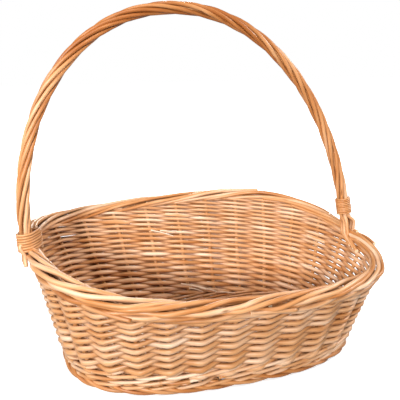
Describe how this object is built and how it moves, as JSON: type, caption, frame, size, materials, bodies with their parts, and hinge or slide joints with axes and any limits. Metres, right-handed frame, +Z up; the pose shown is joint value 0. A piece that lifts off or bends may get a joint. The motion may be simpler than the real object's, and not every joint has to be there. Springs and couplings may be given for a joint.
{
  "type": "wicker gift basket",
  "caption": "Oval woven willow basket with flared sides, a raised back rim, rolled borders and a fixed, twisted bow handle.",
  "frame": {"origin": "on the ground, under the middle of the whole basket's outline", "axes": "+X along the long side and the handle's span, +Y towards the raised back, +Z up"},
  "size_m": [0.5434, 0.4246, 0.5213],
  "materials": {
    "side_willow": "satin",
    "border_willow": "satin",
    "stake_willow": "matte",
    "handle_willow": "satin",
    "base_willow": "matte",
    "lashing_cane": "satin"
  },
  "bodies": {
    "root": {"foot_border": "border_willow", "base_long_stick_1": "base_willow", "base_long_stick_2": "base_willow", "base_long_stick_3": "base_willow", "base_cross_stick_1": "base_willow", "base_cross_stick_2": "base_willow", "base_cross_stick_3": "base_willow", "base_cross_stick_4": "base_willow", "base_cross_stick_5": "base_willow", "base_weave": "base_willow", "side_stake_01": "stake_willow", "side_stake_02": "stake_willow", "side_stake_03": "stake_willow", "side_stake_04": "stake_willow", "side_stake_05": "stake_willow", "side_stake_06": "stake_willow", "side_stake_07": "stake_willow", "side_stake_08": "stake_willow", "side_stake_09": "stake_willow", "side_stake_10": "stake_willow", "side_stake_11": "stake_willow", "side_stake_12": "stake_willow", "side_stake_13": "stake_willow", "side_stake_14": "stake_willow", "side_stake_15": "stake_willow", "side_stake_16": "stake_willow", "side_stake_17": "stake_willow", "side_stake_18": "stake_willow", "side_stake_19": "stake_willow", "side_stake_20": "stake_willow", "side_stake_21": "stake_willow", "side_stake_22": "stake_willow", "side_stake_23": "stake_willow", "side_stake_24": "stake_willow", "side_stake_25": "stake_willow", "side_stake_26": "stake_willow", "side_stake_27": "stake_willow", "side_stake_28": "stake_willow", "upsett_wale_01": "side_willow", "upsett_wale_02": "side_willow", "siding_course_01": "side_willow", "siding_course_02": "side_willow", "siding_course_03": "side_willow", "siding_course_04": "side_willow", "siding_course_05": "side_willow", "siding_course_06": "side_willow", "siding_course_07": "side_willow", "siding_course_08": "side_willow", "siding_course_09": "side_willow", "siding_course_10": "side_willow", "rim_border": "border_willow", "handle_core": "handle_willow", "handle_rod_1": "handle_willow", "handle_rod_2": "handle_willow", "handle_rod_3": "handle_willow", "handle_rod_4": "handle_willow", "handle_rod_5": "handle_willow", "handle_rod_6": "handle_willow", "lashing_left": "lashing_cane", "lashing_right": "lashing_cane"}
  },
  "joints": []
}
